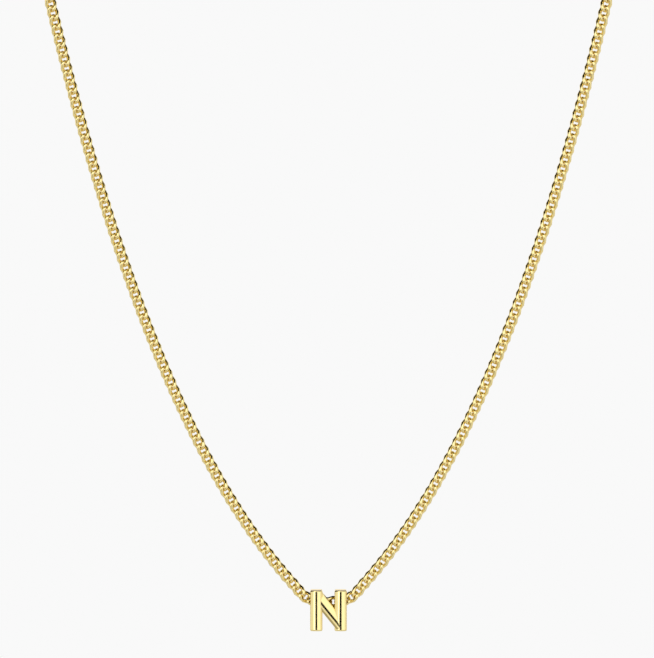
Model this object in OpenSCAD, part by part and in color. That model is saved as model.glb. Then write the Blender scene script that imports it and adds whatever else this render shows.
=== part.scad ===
// Initial letter pendant threaded on a fine curb chain, one closed loop round a neck.
// Millimetres. The origin is the point of the nape where the clasp rests, +Z is up,
// and the letter hangs in front, on the -Y side, facing -Y.

/* [Initial letter] */
// Height of the letter
letter_h = 6; // [5.6:0.1:9]
// Width of the letter
letter_w = 5.4; // [5.2:0.1:7]
// Width of each upright stroke
upright_w = 1.8; // [1.5:0.05:2.2]
// Width of the sloping stroke, measured across it
slope_w = 1.75; // [1.3:0.05:2]
// Angle of the sloping stroke from level, in degrees
slope_angle = 51; // [50:0.5:58]
// How far the sloping stroke lies above the letter's middle
slope_rise = 0.08; // [0:0.02:0.2]
// How far the crest of the sloping stroke's front lies off its middle, on the lower side
slope_crest = 0.18; // [0:0.02:0.3]
// Lean of the sloping stroke's front, which lies deeper towards its upper end, in degrees
slope_lean = 2.5; // [0:0.5:4]
// Rise of each stroke's rounded front above its straight sides
crown_h = 0.4; // [0.2:0.05:0.6]
// Metal between the top of the letter and the chain's hole
top_wall = 0.65; // [0.5:0.05:1.2]
// Metal between the hole's mouth and the start of the rounded front
rim_wall = 0.1; // [0.1:0.05:0.5]

/* [Hole for the chain] */
// Room round the chain inside the hole
hole_clear = 0.22; // [0.2:0.02:0.5]
// How much wider the hole is at each mouth
mouth_flare = 0.14; // [0.05:0.01:0.3]
// How far in from the letter's side each mouth starts to widen
mouth_depth = 0.6; // [0.3:0.05:1]

/* [Curb chain] */
// Distance from one link to the next
link_pitch = 1.4; // [1.34:0.02:1.5]
// Width of the chain across its flat side
chain_w = 1.6; // [1.56:0.02:1.8]
// Thickness of the links' wire
wire_d = 0.36; // [0.3:0.01:0.38]
// Play between two neighbouring links along the chain
link_play = 0.28; // [0.24:0.01:0.3]
// Twist of a link from its middle to its end, in degrees
link_twist = 64; // [60:1:66]
// Lean of the one untwisted link, inside the letter, that joins the two sides, in degrees
joining_lean = 52; // [50:0.5:54]
// Links on each side of the letter that are modelled one by one
front_links = 72; // [60:1:72]

/* [Hang of the chain in front] */
// How slowly the hanging chain steepens: a larger value makes a wider curve
hang_span = 30; // [28:0.5:38]
// Extra chain that the letter's weight counts for at the bottom of the curve
hang_lead = 27; // [24:0.5:34]
// How far the chain's lowest point lies under the middle of the hole
chain_sag = 0.17; // [0.13:0.01:0.19]

/* [Way round the neck] */
// Distance from the front of the chain back to the nape
neck_depth = 86; // [75:1:110]
// Height of the nape above the upper end of the front chain
nape_rise = 40; // [30:1:55]
// Length over which the chain keeps on upward before it turns back
front_reach = 28; // [22:1:36]
// Length over which the chain runs level on each side of the nape
nape_reach = 64; // [55:1:75]

/* [Clasp] */
// Outer diameter of the clasp's ring
clasp_d = 5.5; // [5:0.1:7]
// Thickness of the clasp's ring
clasp_wire = 1; // [0.8:0.1:1.4]
// Gap between pieces that meet
seat_gap = 0.15; // [0.1:0.05:0.3]

/* [Hidden] */
gold = [0.93, 0.74, 0.36];
// Steps that round shapes are drawn with
$fn = 96;
// Sides of a link's round, and of its wire
link_sides = 10;
wire_sides = 5;
// Rings and sides of each plain length of chain
back_rings = 38;
back_sides = 8;
// Share of the hanging slope that the first links out of the hole take, one by one
mouth_share = [0, 0.36, 0.74, 1.1];
// Extra length that a cutting shape has past the metal it cuts
past = 1;

// Sizes that follow from the ones above
hole_r = chain_w / 2 + hole_clear;
mouth_r = hole_r + mouth_flare;
hole_drop = hole_r + top_wall;
side_front = mouth_r + rim_wall;
link_half_l = (link_pitch + wire_d + link_play) / 2;
link_half_w = (chain_w - wire_d) / 2;
clasp_r = (clasp_d - clasp_wire) / 2;

// Part 1 of 4: the letter

// Radius of the arc that rounds a stroke's front
function crown_r(w) = (w * w / 4 + crown_h * crown_h) / (2 * crown_h);
// Area of the rounded front in cross-section
function crown_area(w) =
    let (r = crown_r(w), a = asin(w / 2 / r))
    r * r * (a * PI / 180 - sin(a) * cos(a));
// Height of that area's centre above the straight sides
function crown_centre(w) =
    let (r = crown_r(w), a = asin(w / 2 / r))
    pow(2 * r * sin(a), 3) / (12 * crown_area(w)) - r * cos(a);
// Depth of the metal behind the hole's axis that balances what lies in front of it,
// so that the letter hangs upright
side_back = sqrt(side_front * side_front
    + 2 * crown_area(upright_w) * (side_front + crown_centre(upright_w)) / upright_w);

// A straight bar along Z, flat behind and rounded in front, centred on the hole's axis in depth.
// Its crest lies off_middle towards -X. With a lean its front is at full height at lean_from
// and lies deeper from there upwards.
module stroke(w, len, off_middle = 0, lean = 0, lean_from = 0) {
    r = crown_r(w + 2 * off_middle);
    body_front = side_front - crown_h;
    translate([-w / 2, -body_front, -len / 2])
        cube([w, body_front + side_back, len]);
    intersection() {
        translate([-off_middle, -side_front - crown_h + r, lean_from])
            rotate([-lean, 0, 0])
                cylinder(r = r, h = 3 * len, center = true);
        translate([-w / 2, -side_front - crown_h - past, -len / 2])
            cube([w, past + 2 * crown_h, len]);
    }
}

// The hole along X, wider at both mouths
module chain_hole() {
    half = letter_w / 2;
    rotate([0, 90, 0])
        rotate_extrude()
            polygon([[0, -half - past], [mouth_r, -half - past], [mouth_r, -half],
                     [hole_r, -half + mouth_depth], [hole_r, half - mouth_depth],
                     [mouth_r, half], [mouth_r, half + past], [0, half + past]]);
}

// The letter round its hole, with the hole's middle at the origin
module letter_at_hole() {
    mid_z = hole_drop - letter_h / 2;
    upright_x = (letter_w - upright_w) / 2;
    difference() {
        translate([0, 0, mid_z]) {
            translate([-upright_x, 0, 0])
                stroke(upright_w, letter_h);
            translate([upright_x, 0, 0])
                stroke(upright_w, letter_h);
            intersection() {
                translate([0, 0, slope_rise])
                    rotate([0, slope_angle - 90, 0])
                        stroke(slope_w, 2 * letter_h, slope_crest, slope_lean,
                               -upright_x / cos(slope_angle));
                translate([-upright_x, -letter_h, -letter_h / 2])
                    cube([2 * upright_x, 2 * letter_h, letter_h]);
            }
        }
        chain_hole();
    }
}

// Part 2 of 4: one curb link, an oval of wire whose ends are twisted opposite ways

function unit(v) = v / norm(v);
// How far the oval is turned about the chain at t degrees round it. A joining link isn't
// twisted: it leans the same way at both ends, so that it joins chains of opposite twist.
function turn_at(t, joining) = joining ? -joining_lean : link_twist * cos(t);
// Middle of the wire at t degrees round the oval: x runs along the chain, y across it
function wire_at(t, joining = false) =
    let (turn = turn_at(t, joining))
    [link_half_l * cos(t), link_half_w * sin(t) * cos(turn), link_half_w * sin(t) * sin(turn)];
// Direction of the wire there
function wire_way(t, joining) =
    let (turn = turn_at(t, joining),
         turn_way = joining ? 0 : -link_twist * PI / 180 * sin(t))
    unit([-link_half_l * sin(t),
          link_half_w * (cos(t) * cos(turn) - sin(t) * sin(turn) * turn_way),
          link_half_w * (cos(t) * sin(turn) + sin(t) * cos(turn) * turn_way)]);
// Direction out of the oval there
function wire_out(t, joining) =
    let (turn = turn_at(t, joining))
    [link_half_w * cos(t), link_half_l * sin(t) * cos(turn), link_half_l * sin(t) * sin(turn)];
// Corners of one link, round the wire at each side of the oval
function link_points(joining) = [
    for (i = [0:link_sides - 1])
        let (t = 360 * i / link_sides,
             way = wire_way(t, joining),
             side = unit(cross(way, wire_out(t, joining))),
             out = cross(side, way))
        for (j = [0:wire_sides - 1])
            let (a = 360 * j / wire_sides)
            wire_at(t, joining) + wire_d / 2 * (cos(a) * out + sin(a) * side)];
// Triangles of one link, each row of corners joined to the next and the last to the first
link_faces = [
    for (i = [0:link_sides - 1], j = [0:wire_sides - 1])
        let (here = i * wire_sides,
             next = (i + 1) % link_sides * wire_sides,
             k = (j + 1) % wire_sides)
        for (face = [[here + j, next + j, next + k], [here + j, next + k, here + k]])
            face];
// Depth of the chain, front to back
chain_t = wire_d + 2 * max([for (t = [0:5:90]) wire_at(t)[2]]);

// Part 3 of 4: where the chain runs. Right of the letter only: the left is its mirror image

// Slope of each link from level, going up from the letter
slopes = [
    for (k = [0:front_links - 1])
        let (share = k < len(mouth_share) ? mouth_share[k] : 1)
        share * atan(((k + 0.5) * link_pitch + hang_lead) / hang_span)];
// Points where the links meet, as [x, z] from the hole's middle
joints = [
    for (k = 0, p = [0, -chain_sag];
         k <= front_links;
         p = p + link_pitch * (k < front_links ? [cos(slopes[k]), sin(slopes[k])] : [0, 0]),
         k = k + 1)
        p];
front_y = clasp_wire / 2 - neck_depth;
hole_z = -nape_rise - joints[front_links][1];

// The plain way round the neck: a curve through four points, from the front chain to the nape
back_curve = [
    [joints[front_links][0], front_y, -nape_rise],
    [joints[front_links][0] + front_reach * cos(slopes[front_links - 1]), front_y,
     -nape_rise + front_reach * sin(slopes[front_links - 1])],
    [nape_reach, clasp_wire / 2, 0],
    [0, clasp_wire / 2, 0]];
function back_at(t) =
    pow(1 - t, 3) * back_curve[0] + 3 * pow(1 - t, 2) * t * back_curve[1]
    + 3 * (1 - t) * t * t * back_curve[2] + t * t * t * back_curve[3];
function back_way(t) =
    unit(pow(1 - t, 2) * (back_curve[1] - back_curve[0])
         + 2 * (1 - t) * t * (back_curve[2] - back_curve[1])
         + t * t * (back_curve[3] - back_curve[2]));
// Direction that the chain's flat side faces: away from the neck
function back_face(t) =
    let (out = [cos(180 * t - 90), sin(180 * t - 90), 0])
    unit(out - (out * back_way(t)) * back_way(t));
// The plain length starts a gap past the last link and ends a gap before the clasp
back_start = (link_half_l + wire_d / 2 - link_pitch / 2 + seat_gap) / (3 * front_reach);
back_end = 1 - (clasp_d / 2 + seat_gap) / (3 * nape_reach);
back_points = [
    for (i = [0:back_rings])
        let (t = back_start + (back_end - back_start) * i / back_rings,
             face = back_face(t),
             across = cross(face, back_way(t)))
        for (j = [0:back_sides - 1])
            let (a = 360 * j / back_sides)
            back_at(t) + chain_w / 2 * cos(a) * across + chain_t / 2 * sin(a) * face];
back_faces = concat(
    [for (i = [0:back_rings - 1], j = [0:back_sides - 1])
        let (here = i * back_sides, next = here + back_sides, k = (j + 1) % back_sides)
        for (face = [[here + j, next + j, next + k], [here + j, next + k, here + k]])
            face],
    [[for (j = [0:back_sides - 1]) j]],
    [[for (j = [0:back_sides - 1]) (back_rings + 1) * back_sides - 1 - j]]);

// Part 4 of 4: the pieces

// One corner of a link, laid on link k of the side that side_sign names, +1 right and -1 left.
// The twist on the right mirrors the twist on the left, so the first link on the left, which
// lies inside the letter, is a joining link.
function laid(p, k, side_sign) =
    let (slope = side_sign * slopes[k],
         mid = (joints[k] + joints[k + 1]) / 2)
    [side_sign * mid[0] + p[0] * cos(slope) - p[1] * sin(slope),
     front_y + side_sign * p[2],
     hole_z + mid[1] + p[0] * sin(slope) + p[1] * cos(slope)];
module front_chain(side_sign) {
    twisted = link_points(false);
    joining = link_points(true);
    count = len(twisted);
    polyhedron(
        points = [
            for (k = [0:front_links - 1], p = side_sign < 0 && k == 0 ? joining : twisted)
                laid(p, k, side_sign)],
        // Mirrored links have their faces drawn the other way round
        faces = [
            for (k = [0:front_links - 1], f = link_faces)
                [for (i = [0:2]) f[side_sign < 0 ? i : 2 - i] + k * count]]);
}

module initial_letter() {
    color(gold)
        translate([0, front_y, hole_z])
            letter_at_hole();
}

module chain_front_left() {
    color(gold)
        front_chain(-1);
}

module chain_front_right() {
    color(gold)
        front_chain(1);
}

module chain_back_left() {
    color(gold)
        mirror([1, 0, 0])
            polyhedron(points = back_points, faces = back_faces);
}

module chain_back_right() {
    color(gold)
        polyhedron(points = back_points, faces = back_faces);
}

module clasp() {
    color(gold)
        translate([0, clasp_wire / 2, 0])
            rotate([90, 0, 0])
                rotate_extrude()
                    translate([clasp_r, 0])
                        circle(d = clasp_wire);
}

initial_letter();
chain_front_left();
chain_front_right();
chain_back_left();
chain_back_right();
clasp();
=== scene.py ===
# %% [markdown]
# # An initial pendant on a fine curb chain
#
# The real thing is a small block letter of polished yellow gold. The chain runs straight
# through a hole in the letter, so there is no bail and no jump ring.
#
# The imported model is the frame: every piece below is made in metres, in the same place as
# the solid that it stands for. Sizes are written in millimetres and scaled once.

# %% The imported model
import math

import bmesh
import bpy
from mathutils import Matrix, Vector


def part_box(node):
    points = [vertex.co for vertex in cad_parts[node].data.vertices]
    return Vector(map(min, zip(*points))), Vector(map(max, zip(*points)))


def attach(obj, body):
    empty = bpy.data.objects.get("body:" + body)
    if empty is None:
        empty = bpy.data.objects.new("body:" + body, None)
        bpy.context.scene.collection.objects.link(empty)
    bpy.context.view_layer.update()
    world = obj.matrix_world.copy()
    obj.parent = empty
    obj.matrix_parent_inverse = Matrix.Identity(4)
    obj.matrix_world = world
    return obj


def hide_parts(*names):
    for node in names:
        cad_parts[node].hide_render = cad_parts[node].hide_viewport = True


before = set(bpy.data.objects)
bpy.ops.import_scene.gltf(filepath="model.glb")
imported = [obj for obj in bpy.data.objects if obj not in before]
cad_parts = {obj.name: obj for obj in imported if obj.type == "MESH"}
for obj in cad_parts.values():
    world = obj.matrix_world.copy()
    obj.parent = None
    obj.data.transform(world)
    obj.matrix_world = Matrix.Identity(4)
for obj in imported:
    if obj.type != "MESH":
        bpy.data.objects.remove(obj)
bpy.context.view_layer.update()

MM = 0.001


def put_in_scene(name, data):
    """An object that holds this mesh, lamp or camera."""
    made = bpy.data.objects.new(name, data)
    bpy.context.scene.collection.objects.link(made)
    return made


# %% [markdown]
# ## Camera first
#
# The photograph is taken straight on, with the middle of the picture well above the letter,
# so the camera is level and looks at a point between the two sides of the chain. A long lens
# far away gives the flat look of a catalogue picture. A shorter lens close by would show the
# same width, but it would spread the two sides of the chain apart towards the top.

# %% Camera
PICTURE_W = 654
MM_PER_PIXEL = 0.148
FRONT_Y = -85.5
CAMERA_AWAY = 520
# What lies in the middle of the picture
MIDDLE_X = -0.22
MIDDLE_Z = -88.78
SENSOR_W = 36
CLIP_START = 10

camera = put_in_scene("camera", bpy.data.cameras.new("camera"))
camera.location = Vector((MIDDLE_X, FRONT_Y - CAMERA_AWAY, MIDDLE_Z)) * MM
camera.rotation_euler = (math.radians(90), 0, 0)
camera.data.sensor_fit = "HORIZONTAL"
camera.data.sensor_width = SENSOR_W
camera.data.lens = SENSOR_W * CAMERA_AWAY / (PICTURE_W * MM_PER_PIXEL)
camera.data.clip_start = CLIP_START * MM
bpy.context.scene.camera = camera
print("lens, mm:", round(camera.data.lens, 1))

# %% [markdown]
# ## Writing nodes as sums
#
# A node tree is a formula. `Field` wraps a socket, so that `a * 2 + b` adds the Math nodes
# for it, and `Graph.node` makes any other node from its type, its settings and its values.
# The same two classes serve the chain's Geometry Nodes and the shaders of gold and floor.

# %% Field and Graph
class Field:
    """A number socket that can be used in a sum."""

    def __init__(self, graph, socket):
        self.graph, self.socket = graph, socket

    def __add__(self, other):
        return self.graph.math("ADD", self, other)

    def __mul__(self, other):
        return self.graph.math("MULTIPLY", self, other)

    def __truediv__(self, other):
        return self.graph.math("DIVIDE", self, other)

    __radd__, __rmul__ = __add__, __mul__


class Graph:
    """A node tree that is written as expressions."""

    def __init__(self, tree):
        self.tree = tree

    def node(self, kind, settings=None, values=None, out=0):
        made = self.tree.nodes.new(kind)
        for name, value in (settings or {}).items():
            setattr(made, name, value)
        for name, value in (values or {}).items():
            if isinstance(value, Field):
                self.tree.links.new(value.socket, made.inputs[name])
            else:
                made.inputs[name].default_value = value
        return Field(self, made.outputs[out]) if made.outputs else made

    def math(self, operation, *values):
        return self.node("ShaderNodeMath", {"operation": operation}, dict(enumerate(values)))


# %% [markdown]
# ## Where the chain runs
#
# A hanging chain steepens as it climbs, and the weight of the letter gives it a sharp V at
# the bottom. Physics could be run for it, but the curve that a hanging chain takes is known,
# so each link's slope comes from one formula and the next link starts where it ends. The
# first links out of the letter turn up by and by, because the hole holds them level.
#
# Behind the picture's edge the chain goes round the neck on one smooth curve to the clasp.

# %% Sizes of the chain
LINK_PITCH = 1.4
FRONT_LINKS = 72
# A link whose middle is w along the chain from the letter's slopes by atan((w + lead) / span)
HANG_SPAN = 30
HANG_LEAD = 27
# The first links have this share of that slope
MOUTH_SHARE = (0, 0.28, 0.74, 1.1)
HOLE_Z = -129.0553
# How far under the middle of the hole the chain runs
CHAIN_SAG = 0.09
# How far the handles of the curve round the neck reach, in front and at the nape
FRONT_REACH = 28
NAPE_REACH = 64
CLASP_R = 2.25
CLASP_WIRE = 1.0
NAPE_Y = CLASP_WIRE / 2

# %% The front of the chain, link by link
def hanging_joints():
    """Points where the links meet, up the right side from the middle of the hole."""
    joints = [Vector((0, FRONT_Y, HOLE_Z - CHAIN_SAG))]
    for k in range(FRONT_LINKS):
        share = MOUTH_SHARE[k] if k < len(MOUTH_SHARE) else 1
        slope = share * math.atan(((k + 0.5) * LINK_PITCH + HANG_LEAD) / HANG_SPAN)
        joints.append(joints[-1] + LINK_PITCH * Vector((math.cos(slope), 0, math.sin(slope))))
    return joints


front_joints = hanging_joints()
print("front chain ends at", [round(v, 2) for v in front_joints[-1]])

# %% The way round the neck
# Where the last link's joint lies, so that its tip sits inside the end ring
LAST_JOINT_X = 3.43
NECK_STEPS = 3000

top = front_joints[-1]
leaving = (top - front_joints[-2]).normalized()
neck_curve = (top, top + FRONT_REACH * leaving, Vector((NAPE_REACH, NAPE_Y, 0)),
              Vector((0, NAPE_Y, 0)))


def on_neck(t):
    a, b, c, d = neck_curve
    return (1 - t) ** 3 * a + 3 * (1 - t) ** 2 * t * b + 3 * (1 - t) * t * t * c + t ** 3 * d


def neck_joints():
    """Joints spaced evenly along the curve, with how far along it each one is."""
    walked, marks = 0.0, [(0.0, 0.0, on_neck(0))]
    for i in range(1, NECK_STEPS + 1):
        point = on_neck(i / NECK_STEPS)
        if point.x < LAST_JOINT_X and i > NECK_STEPS / 2:
            break
        walked += (point - marks[-1][2]).length
        marks.append((walked, i / NECK_STEPS, point))
    count = round(walked / LINK_PITCH)
    joints, at = [], 0
    for k in range(1, count + 1):
        while at < len(marks) - 1 and marks[at][0] < walked * k / count:
            at += 1
        joints.append((marks[at][2], marks[at][1]))
    print("links round each side of the neck:", count, "spaced", round(walked / count, 3))
    return joints


back_joints = neck_joints()

# %% Middle, direction and face of every link
def laid_links():
    """One (middle, way, face) for each link, first up the right side and then up the left.
    Way points right along the chain: away from the letter on the right side and towards it
    on the left. Face is the flat side, which turns away from the neck."""
    points = [(p, 0.0) for p in front_joints] + back_joints
    right = []
    for (a, _), (b, t) in zip(points, points[1:]):
        way = (b - a).normalized()
        turn = math.pi * (t - 0.5)
        out = Vector((math.cos(turn), math.sin(turn), 0))
        right.append(((a + b) / 2, way, (out - out.dot(way) * way).normalized()))
    left = [(Vector((-m.x, m.y, m.z)), Vector((w.x, -w.y, -w.z)), Vector((-f.x, f.y, f.z)))
            for m, w, f in right]
    return right, left


right_links, left_links = laid_links()
print("links in the whole chain:", len(right_links) + len(left_links))

# %% [markdown]
# ## One curb link, repeated by Geometry Nodes
#
# A curb link is an oval of wire whose two ends are twisted opposite ways, until the whole
# row lies flat. In the photograph the twist on the right mirrors the twist on the left, so
# one link inside the letter, which leans the same way at both ends, joins the two halves.
#
# A link could be modelled once and copied with an array along a curve, but an array spaces
# by length along the curve and lets the links drift. Here every link has its own point,
# which carries the direction and the face as attributes, and a Geometry Nodes tree bends
# the wire and sets one link on each point. The twist, the wire and the length are inputs of
# the tree, so another curb chain is a matter of other numbers.
#
# The two rings that join the chain to the clasp come from the same tree, as links that are
# round and have no twist.

# %% The link tree
LINK_INPUTS = (
    ("Half length", "NodeSocketFloat"), ("Half width", "NodeSocketFloat"),
    ("Fullness", "NodeSocketFloat"), ("Twist", "NodeSocketFloat"), ("Lean", "NodeSocketFloat"),
    ("Wire", "NodeSocketFloat"), ("Sides", "NodeSocketInt"), ("Wire sides", "NodeSocketInt"),
    ("Metal", "NodeSocketMaterial"))


def link_tree():
    tree = bpy.data.node_groups.new("curb_links", "GeometryNodeTree")
    tree.interface.new_socket("Geometry", in_out="INPUT", socket_type="NodeSocketGeometry")
    for name, kind in LINK_INPUTS:
        tree.interface.new_socket(name, in_out="INPUT", socket_type=kind)
    tree.interface.new_socket("Geometry", in_out="OUTPUT", socket_type="NodeSocketGeometry")
    g = Graph(tree)
    given = tree.nodes.new("NodeGroupInput")
    size = {name: Field(g, given.outputs[name]) for name, _ in LINK_INPUTS}

    # The oval: a circle of points, each one moved to its place on the twisted link
    ring = g.node("GeometryNodeCurvePrimitiveCircle", {}, {"Resolution": size["Sides"]})
    index = g.node("GeometryNodeInputIndex")
    angle = index * (2 * math.pi) / size["Sides"]
    cos, sin = g.math("COSINE", angle), g.math("SINE", angle)

    # A power under 1 fills the oval out towards its corners
    def fuller(value):
        return g.math("SIGN", value) * g.math(
            "POWER", g.math("ABSOLUTE", value), size["Fullness"])

    along, across = fuller(cos), size["Half width"] * fuller(sin)
    turn = size["Twist"] * along + size["Lean"]
    place = g.node("ShaderNodeCombineXYZ", {}, {
        "X": size["Half length"] * along,
        "Y": across * g.math("COSINE", turn),
        "Z": across * g.math("SINE", turn)})
    oval = g.node("GeometryNodeSetPosition", {}, {"Geometry": ring, "Position": place})
    round_wire = g.node("GeometryNodeCurvePrimitiveCircle", {}, {
        "Resolution": size["Wire sides"], "Radius": size["Wire"] / 2})
    link = g.node("GeometryNodeCurveToMesh", {}, {
        "Curve": oval, "Profile Curve": round_wire})
    smooth = g.node("GeometryNodeSetShadeSmooth", {}, {"Geometry": link})

    # One on each point, turned by the directions that the point carries
    def carried(name):
        return g.node("GeometryNodeInputNamedAttribute", {"data_type": "FLOAT_VECTOR"},
                      {"Name": name})

    turned = g.node("FunctionNodeAxesToRotation",
                    {"primary_axis": "X", "secondary_axis": "Z"},
                    {"Primary Axis": carried("way"), "Secondary Axis": carried("face")})
    row = g.node("GeometryNodeInstanceOnPoints", {}, {
        "Points": Field(g, given.outputs["Geometry"]), "Instance": smooth,
        "Rotation": turned})
    real = g.node("GeometryNodeRealizeInstances", {}, {"Geometry": row})
    metal = g.node("GeometryNodeSetMaterial", {}, {
        "Geometry": real, "Material": size["Metal"]})
    result = tree.nodes.new("NodeGroupOutput")
    tree.links.new(metal.socket, result.inputs["Geometry"])
    return tree


curb_links = link_tree()
print("nodes in the link tree:", len(curb_links.nodes))

# %% Points to mesh
def set_on_points(name, places, sizes):
    """A plain mesh of one link on each (middle, way, face), in metres."""
    points = bpy.data.meshes.new(name + "_points")
    points.from_pydata([middle * MM for middle, _, _ in places], [], [])
    for attribute, column in (("way", 1), ("face", 2)):
        data = points.attributes.new(attribute, "FLOAT_VECTOR", "POINT").data
        for item, place in zip(data, places):
            item.vector = place[column]
    holder = put_in_scene(name + "_points", points)
    modifier = holder.modifiers.new("links", "NODES")
    modifier.node_group = curb_links
    for item in curb_links.interface.items_tree:
        if item.item_type == "SOCKET" and item.in_out == "INPUT" and item.name in sizes:
            modifier[item.identifier] = sizes[item.name]
    evaluated = holder.evaluated_get(bpy.context.evaluated_depsgraph_get())
    mesh = bpy.data.meshes.new_from_object(evaluated)
    mesh.name = name
    holder.modifiers.remove(modifier)
    bpy.data.objects.remove(holder)
    return mesh


# %% [markdown]
# ## Polished gold
#
# Solid yellow gold has no colour of its own apart from its reflections: the metal tints what
# it mirrors. So the base colour is the tint, the roughness is low, and the look is made by
# what stands round the object. Two things keep it from looking like plastic: hands and
# polishing leave faint cloudy patches that blur the mirror a little, and the surface has a
# very fine ripple. Both are noise on Object coordinates, so they stay on the metal.

# %% Gold
DEEP_GOLD = (0.90, 0.75, 0.34, 1)
PALE_GOLD = (0.93, 0.78, 0.38, 1)
GLANCING_GOLD = (1.0, 0.86, 0.55, 1)


def polished_gold(name, patch, ripple):
    """Gold whose cloudy patches and fine ripple have these sizes in millimetres."""
    metal = bpy.data.materials.new(name)
    metal.use_nodes = True
    metal.node_tree.nodes.clear()
    g = Graph(metal.node_tree)
    place = g.node("ShaderNodeTexCoord", out="Object")
    cloud = g.node("ShaderNodeTexNoise", {}, {
        "Vector": place, "Scale": 1 / (patch * MM), "Detail": 3, "Roughness": 0.6})
    grain = g.node("ShaderNodeTexNoise", {}, {
        "Vector": place, "Scale": 1 / (ripple * MM), "Detail": 2})
    tint = g.node("ShaderNodeMix", {"data_type": "RGBA"}, {
        "Factor": cloud, 6: DEEP_GOLD, 7: PALE_GOLD}, out=2)
    bump = g.node("ShaderNodeBump", {}, {
        "Strength": 0.05, "Distance": 0.02 * MM, "Height": grain})
    shader = g.node("ShaderNodeBsdfPrincipled", {}, {
        "Base Color": tint, "Metallic": 1.0, "Specular Tint": GLANCING_GOLD,
        "Roughness": 0.06 + 0.10 * cloud, "Normal": bump})
    g.node("ShaderNodeOutputMaterial", {}, {"Surface": shader})
    return metal


chain_gold = polished_gold("chain_gold", patch=3.0, ripple=0.25)
letter_gold = polished_gold("letter_gold", patch=1.6, ripple=0.2)
print("materials:", chain_gold.name, letter_gold.name)

# %% [markdown]
# ## The chain
#
# The wire of the real links is round. Sixteen sides to the oval and six to the wire are
# enough at this size, because the shading is smooth and there are several hundred links.
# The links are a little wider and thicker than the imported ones, which keep a gap all round
# that the real links, lying on each other, don't have.

# %% Chain
LINK_W = 1.78
LINK_WIRE = 0.55
LINK_PLAY = 0.06
LINK_FULLNESS = 0.56
LINK_TWIST = 62
JOINING_LEAN = 52


def curb_links_on(name, places, twist, lean=0.0):
    """Curb links whose ends are twisted by this many degrees, leaning as a whole by lean."""
    return set_on_points(name, places, {
        "Half length": (LINK_PITCH + LINK_WIRE + LINK_PLAY) / 2 * MM,
        "Half width": (LINK_W - LINK_WIRE) / 2 * MM,
        "Fullness": LINK_FULLNESS, "Twist": math.radians(twist), "Lean": math.radians(lean),
        "Wire": LINK_WIRE * MM, "Sides": 16, "Wire sides": 6, "Metal": chain_gold})


chain_parts = [curb_links_on("right_links", right_links, -LINK_TWIST),
               curb_links_on("left_links", left_links[1:], LINK_TWIST),
               curb_links_on("joining_link", left_links[:1], 0, -JOINING_LEAN)]
print("faces of links:", [len(part.polygons) for part in chain_parts])

# %% The rings that join it to the clasp
END_RING_R = 1.1
END_RING_WIRE = 0.45
# How far past the middle of the clasp's wire a ring has its own middle
END_RING_OFF = 0.3
END_RING_TILT = math.radians(60)

end_rings = [
    (Vector((side * (CLASP_R + END_RING_OFF), NAPE_Y, 0)), Vector((1, 0, 0)),
     Vector((0, -side * math.cos(END_RING_TILT), -math.sin(END_RING_TILT))))
    for side in (1, -1)]
chain_parts.append(set_on_points("end_rings", end_rings, {
    "Half length": END_RING_R * MM, "Half width": END_RING_R * MM, "Fullness": 1.0,
    "Twist": 0.0, "Lean": 0.0, "Wire": END_RING_WIRE * MM, "Sides": 32, "Wire sides": 10,
    "Metal": chain_gold}))

# %% One mesh for the whole chain
def mesh_of(name, work):
    """The mesh that has been worked out in a bmesh, which is freed."""
    mesh = bpy.data.meshes.new(name)
    work.to_mesh(mesh)
    work.free()
    return mesh


joined = bmesh.new()
for part in chain_parts:
    joined.from_mesh(part)
chain_mesh = mesh_of("curb_chain", joined)
chain_mesh.materials.append(chain_gold)
curb_chain = put_in_scene("curb_chain", chain_mesh)
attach(curb_chain, "necklace")
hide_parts("chain_front_left", "chain_front_right", "chain_back_left",
            "chain_back_right")
print("chain with its rings:", len(chain_mesh.polygons), "faces")

# %% [markdown]
# ## The letter
#
# The letter is cast and polished: three strokes with rounded fronts that run into each
# other, a hole from side to side, and edges that the polishing has softened. The packed
# solid could be copied and given a bevel, but its rounded fronts are a few wide faces, and
# a mirror shows each one. So the strokes are drawn again with fine arcs at the same sizes,
# joined and drilled by Boolean modifiers, and only the outward edges get a Bevel. The lines
# where two strokes meet stay crisp, as they do under a polishing wheel.

# %% One stroke
UPRIGHT_W = 1.8
SLOPE_W = 1.75
SLOPE_ANGLE = 51
SLOPE_RISE = 0.08
SLOPE_CREST = 0.18
SLOPE_LEAN = math.radians(2.5)
CROWN_H = 0.4
ARC_STEPS = 28
MOUTH_R = 1.16
RIM_WALL = 0.1

letter_low, letter_high = (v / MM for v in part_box("initial_letter"))
letter_w, letter_h = letter_high.x - letter_low.x, letter_high.z - letter_low.z
letter_mid_z = (letter_high.z + letter_low.z) / 2
side_front = MOUTH_R + RIM_WALL
side_back = letter_high.y - FRONT_Y
reach = (letter_w - UPRIGHT_W) / 2
print("letter, mm:", round(letter_w, 2), "wide,", round(letter_h, 2), "high")


def prism(name, outline, length, outline_above=None):
    """A solid along z round its middle. Each outline in x and y is drawn anticlockwise."""
    work = bmesh.new()
    low = [work.verts.new((x, y, -length / 2)) for x, y in outline]
    high = [work.verts.new((x, y, length / 2)) for x, y in outline_above or outline]
    count = len(outline)
    for i in range(count):
        j = (i + 1) % count
        work.faces.new((low[i], low[j], high[j], high[i]))
    work.faces.new(low[::-1])
    work.faces.new(high)
    return put_in_scene(name, mesh_of(name, work))


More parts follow.
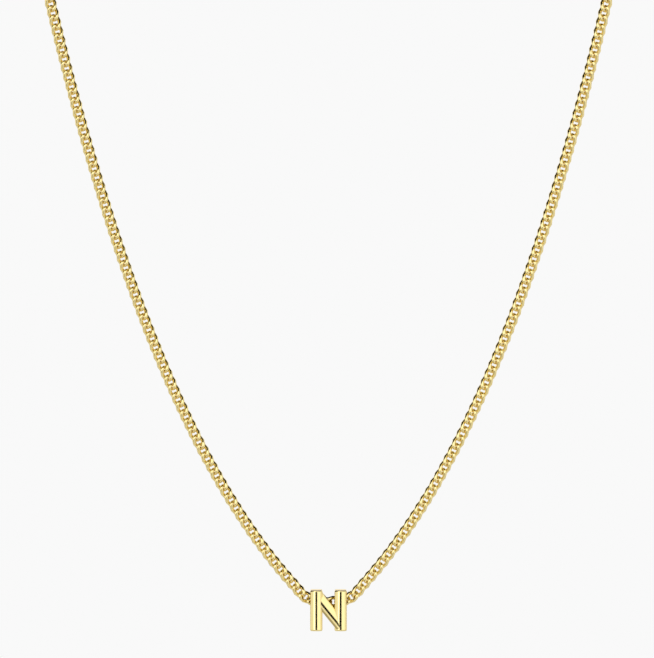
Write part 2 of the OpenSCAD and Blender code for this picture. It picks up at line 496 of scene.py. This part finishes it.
def stroke(name, width, length, off_middle=0.0, lean=0.0, lean_from=0.0):
    """A bar with a flat back and a rounded front, in millimetres round the hole's axis. Its
    crest can lie off its middle, towards -x. A leaning front has its full height at
    lean_from and lies deeper from there upwards."""
    r = ((width / 2 + off_middle) ** 2 + CROWN_H ** 2) / (2 * CROWN_H)
    low, high = (math.asin((side * width / 2 + off_middle) / r) for side in (-1, 1))
    arc = [low + (high - low) * i / ARC_STEPS for i in range(ARC_STEPS + 1)]

    def outline(z):
        crest = -side_front - CROWN_H + math.tan(lean) * (z - lean_from)
        front = [(r * math.sin(a) - off_middle, crest + r * (1 - math.cos(a))) for a in arc]
        return front + [(width / 2, side_back), (-width / 2, side_back)]

    return prism(name, outline(-length / 2), length, outline(length / 2))


def combine(target, tool, operation):
    """Joins tool to target, or cuts with it, and keeps the result in target's mesh."""
    modifier = target.modifiers.new("combine", "BOOLEAN")
    modifier.operation, modifier.object, modifier.solver = operation, tool, "EXACT"
    evaluated = target.evaluated_get(bpy.context.evaluated_depsgraph_get())
    mesh = bpy.data.meshes.new_from_object(evaluated)
    target.modifiers.remove(modifier)
    target.data = mesh
    bpy.data.objects.remove(tool)


# %% Three strokes in one
# The sloping stroke has its full height a little past the middle of the right upright, so
# that its cut end lies inside that
PAST_MIDDLE = 0.15
# Half the depth of the window that cuts it to width, far more than the letter has
WINDOW_DEPTH = 9

slope = math.radians(SLOPE_ANGLE)
full_height_at = -(reach + PAST_MIDDLE) / math.cos(slope)
letter = stroke("sloping_stroke", SLOPE_W, 2 * letter_h, SLOPE_CREST, SLOPE_LEAN,
                full_height_at)
letter.data.transform(Matrix.Translation((0, 0, SLOPE_RISE))
                      @ Matrix.Rotation(slope - math.pi / 2, 4, "Y"))
window = prism("window", [(-reach, -WINDOW_DEPTH), (reach, -WINDOW_DEPTH),
                          (reach, WINDOW_DEPTH), (-reach, WINDOW_DEPTH)], letter_h)
combine(letter, window, "INTERSECT")
for side in (-1, 1):
    upright = stroke("upright", UPRIGHT_W, letter_h)
    upright.data.transform(Matrix.Translation((side * reach, 0, 0)))
    combine(letter, upright, "UNION")
print("letter joined:", len(letter.data.polygons), "faces")

# %% The hole for the chain
HOLE_R = 1.02
MOUTH_DEPTH = 0.6
HOLE_SIDES = 72
# How far the drill stands out of the letter at each end
DRILL_OUT = 1

hole_up = HOLE_Z - letter_mid_z


def turned_about_x(name, profile, sides):
    """A solid turned about X from (x, radius) pairs, closed at both ends."""
    work = bmesh.new()
    rings = [[work.verts.new((x, r * math.cos(2 * math.pi * i / sides),
                              r * math.sin(2 * math.pi * i / sides)))
              for i in range(sides)] for x, r in profile]
    for near, far in zip(rings, rings[1:]):
        for i in range(sides):
            j = (i + 1) % sides
            work.faces.new((near[j], near[i], far[i], far[j]))
    work.faces.new(rings[0])
    work.faces.new(rings[-1][::-1])
    bmesh.ops.recalc_face_normals(work, faces=work.faces)
    return put_in_scene(name, mesh_of(name, work))


half = letter_w / 2
drill = turned_about_x("drill", [
    (-half - DRILL_OUT, MOUTH_R), (-half, MOUTH_R), (-half + MOUTH_DEPTH, HOLE_R),
    (half - MOUTH_DEPTH, HOLE_R), (half, MOUTH_R), (half + DRILL_OUT, MOUTH_R)], HOLE_SIDES)
drill.data.transform(Matrix.Translation((0, 0, hole_up)))
combine(letter, drill, "DIFFERENCE")
print("letter drilled:", len(letter.data.polygons), "faces")

# %% Which edges are soft
EDGE_ROUND = 0.2
# The edges down the strokes get this share of it
SIDE_SHARE = 0.5
# Beside the hole a rounded edge takes this share of the metal at most. Where that leaves
# less than the least share of the rounding, the edge stays sharp
METAL_SHARE = 0.6
LEAST_SHARE = 0.05
FLAT_UNDER = math.radians(0.2)
SMOOTH_UNDER = math.radians(9)
ROUND_OVER = math.radians(25)
# Points closer together than this are one
SAME_POINT = 0.001
# Points this near to the letter's top or foot lie on it
NEAR_END = 0.01


def metal_beside_hole(edge):
    """Least distance from this edge to the wall of the hole, as seen along the hole."""
    a, b = (Vector((v.co.y, v.co.z - hole_up)) for v in edge.verts)
    along = (b - a).length_squared
    t = min(1, max(0, -a.dot(b - a) / along)) if along > 0 else 0
    return (a + t * (b - a)).length - HOLE_R


def mark_edges(mesh):
    """Outward edges get the bevel, and the lines where strokes meet are kept sharp. Near the
    hole the metal is thin, so there the bevel is narrow, and the hole's own rim has none."""
    work = bmesh.new()
    work.from_mesh(mesh)
    bmesh.ops.dissolve_limit(work, angle_limit=FLAT_UNDER, verts=work.verts,
                             edges=work.edges)
    bmesh.ops.remove_doubles(work, verts=work.verts, dist=SAME_POINT)
    print("shortest edge, mm:", round(min(e.calc_length() for e in work.edges), 4))
    weight = work.edges.layers.float.new("bevel_weight_edge")
    rounded = 0
    for edge in work.edges:
        angle = edge.calc_face_angle_signed(0)
        edge.smooth = abs(angle) < SMOOTH_UNDER
        if angle > ROUND_OVER:
            at_end = all(abs(v.co.z) > letter_h / 2 - NEAR_END for v in edge.verts)
            room = METAL_SHARE * metal_beside_hole(edge) / EDGE_ROUND
            if room > LEAST_SHARE:
                edge[weight] = min(room, 1.0 if at_end else SIDE_SHARE)
                rounded += 1
    for face in work.faces:
        face.smooth = True
    work.to_mesh(mesh)
    work.free()
    print("edges to round:", rounded)


mark_edges(letter.data)

# %% The finished letter
bevel = letter.modifiers.new("soft_edges", "BEVEL")
bevel.width, bevel.segments = EDGE_ROUND, 3
bevel.limit_method, bevel.use_clamp_overlap = "WEIGHT", False
merged = letter.modifiers.new("merged", "WELD")
merged.merge_threshold = 2 * SAME_POINT
even = letter.modifiers.new("even_shading", "WEIGHTED_NORMAL")
even.keep_sharp = True
mesh = bpy.data.meshes.new_from_object(
    letter.evaluated_get(bpy.context.evaluated_depsgraph_get()))
letter.modifiers.clear()
mesh.transform(Matrix.Scale(MM, 4) @ Matrix.Translation((0, FRONT_Y, letter_mid_z)))
mesh.materials.clear()
mesh.materials.append(letter_gold)
letter.data = mesh
letter.name = mesh.name = "polished_letter"
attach(letter, "pendant")
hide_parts("initial_letter")
print("polished letter:", len(mesh.polygons), "faces")

# %% [markdown]
# ## The clasp
#
# The clasp lies behind the neck, where the photograph doesn't show it, so it is one plain
# ring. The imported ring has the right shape. It stays, and gets the gold of the chain.

# %% Clasp
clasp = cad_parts["clasp"]
for slot in clasp.material_slots:
    slot.material = chain_gold
print("clasp:", len(clasp.data.polygons), "faces of", chain_gold.name)

# %% [markdown]
# ## Light
#
# Polished gold shows the room. The picture was taken in a white tent: the world is plain
# white, and it is also the background. A soft box on the left draws the white line beside
# each stroke's crest, a broad one on the right makes the pale yellow side, and a black card
# round the lens draws the fine dark line along the crest itself. A black card overhead and
# one at the side draw the dark arcs in the links, and a grey one in front of the floor
# shades the lower side of the sloping stroke. Each soft box is placed by the direction in
# which the letter sees it, and its brightness is the brightness in the mirror.

# %% Tent
TENT = 0.947

world = bpy.data.worlds.new("white_tent")
world.use_nodes = True
world.node_tree.nodes["Background"].inputs["Color"].default_value = (TENT, TENT, TENT, 1)
bpy.context.scene.world = world
bpy.context.scene.view_settings.view_transform = "Standard"
print("brightness of the tent:", TENT)

# %% [markdown]
# The floor is a pale sweep whose grey middle is a soft painted shadow under the object.
# Far from the object its colour runs out into the white of the tent, so that a low view shows
# no edge.

# %% Floor
FLOOR_Z = -450
FLOOR_X = 1500
FLOOR_FRONT, FLOOR_BACK = -1400, 2200
FLOOR_GREY = (0.8, 0.8, 0.8, 1)
WHITE = (1, 1, 1, 1)
# Metres from the origin between which the grey runs out into white
FADE = (0.7, 1.4)


def one_face(name, corners):
    """A mesh of a single face, in metres."""
    mesh = bpy.data.meshes.new(name)
    mesh.from_pydata(corners, [], [range(len(corners))])
    return mesh


floor_mesh = one_face("floor", [Vector(corner) * MM for corner in (
    (-FLOOR_X, FLOOR_FRONT, FLOOR_Z), (FLOOR_X, FLOOR_FRONT, FLOOR_Z),
    (FLOOR_X, FLOOR_BACK, FLOOR_Z), (-FLOOR_X, FLOOR_BACK, FLOOR_Z))])
floor = put_in_scene("floor", floor_mesh)
pale = bpy.data.materials.new("pale_floor")
pale.use_nodes = True
pale.node_tree.nodes.clear()
g = Graph(pale.node_tree)
away = g.node("ShaderNodeVectorMath", {"operation": "LENGTH"}, {
    0: g.node("ShaderNodeTexCoord", out="Object")}, out=1)
fade = g.node("ShaderNodeMapRange", {"interpolation_type": "SMOOTHSTEP"}, {
    "Value": away, "From Min": FADE[0], "From Max": FADE[1]})
# Painted shadow: grey under the object, running out into white far from it
shade = g.node("ShaderNodeMix", {"data_type": "RGBA"}, {
    "Factor": fade, 6: FLOOR_GREY, 7: WHITE}, out=2)
surface = g.node("ShaderNodeBsdfPrincipled", {}, {"Base Color": shade, "Roughness": 0.9})
g.node("ShaderNodeOutputMaterial", {}, {"Surface": surface})
floor_mesh.materials.append(pale)
print("floor, mm below the origin:", -FLOOR_Z)

# %% Soft boxes
# Metres from the letter
BOX_AWAY = 1.0

letter_middle = (letter_low + letter_high) / 2 * MM


def soft_box(name, azimuth, elevation, width, height, level):
    """A soft box that the letter sees that many degrees right of and above the lens. Width
    and height are the angles that it fills."""
    a, e = math.radians(azimuth), math.radians(elevation)
    to_box = Vector((math.sin(a) * math.cos(e), -math.cos(a) * math.cos(e), math.sin(e)))
    lamp = bpy.data.lights.new(name, "AREA")
    lamp.shape = "RECTANGLE"
    lamp.size = 2 * BOX_AWAY * math.tan(math.radians(width / 2))
    lamp.size_y = 2 * BOX_AWAY * math.tan(math.radians(height / 2))
    lamp.energy = level * math.pi * lamp.size * lamp.size_y
    box = put_in_scene(name, lamp)
    box.location = letter_middle + BOX_AWAY * to_box
    box.rotation_euler = to_box.to_track_quat("Z", "Y").to_euler()
    # The gold mirrors it, but it neither shows in the picture nor lights up the floor
    box.visible_camera = box.visible_diffuse = False
    print(name, "is", round(lamp.size, 2), "by", round(lamp.size_y, 2), "m")


soft_box("key_strip", azimuth=-27, elevation=22, width=24, height=64, level=1.1)
soft_box("broad_fill", azimuth=33, elevation=12, width=52, height=80, level=0.35)


# %% Cards for the mirror
def card_colour(name, colour):
    made = bpy.data.materials.new(name)
    made.use_nodes = True
    matt = made.node_tree.nodes["Principled BSDF"]
    matt.inputs["Base Color"].default_value = colour
    matt.inputs["Specular IOR Level"].default_value = 0
    return made


def card(name, colour, low, high):
    """A card that only the mirror sees: it isn't in the picture and takes no light. Low and
    high are two opposite corners, in metres from the letter's middle, and it is flat along
    the axis on which they agree."""
    across, along = (axis for axis in range(3) if low[axis] != high[axis])
    corners = [letter_middle + Vector(low) for _ in range(4)]
    for corner in (1, 2):
        corners[corner][across] += high[across] - low[across]
    for corner in (2, 3):
        corners[corner][along] += high[along] - low[along]
    made = put_in_scene(name, one_face(name, corners))
    made.data.materials.append(colour)
    made.visible_camera = made.visible_diffuse = made.visible_shadow = False


black = card_colour("black_card", (0.01, 0.01, 0.01, 1))
grey = card_colour("grey_card", (0.45, 0.42, 0.36, 1))
card("lens_card", black, (-0.15, -0.7, -0.4), (0.16, -0.7, 0.08))
card("overhead_card", black, (-2, -0.55, 0.8), (0.8, 1.6, 0.8))
card("side_card", black, (0.9, -0.05, -0.12), (0.9, 0.2, 0.5))
card("front_card", grey, (-0.7, -0.85, -0.3), (-0.1, -0.2, -0.3))
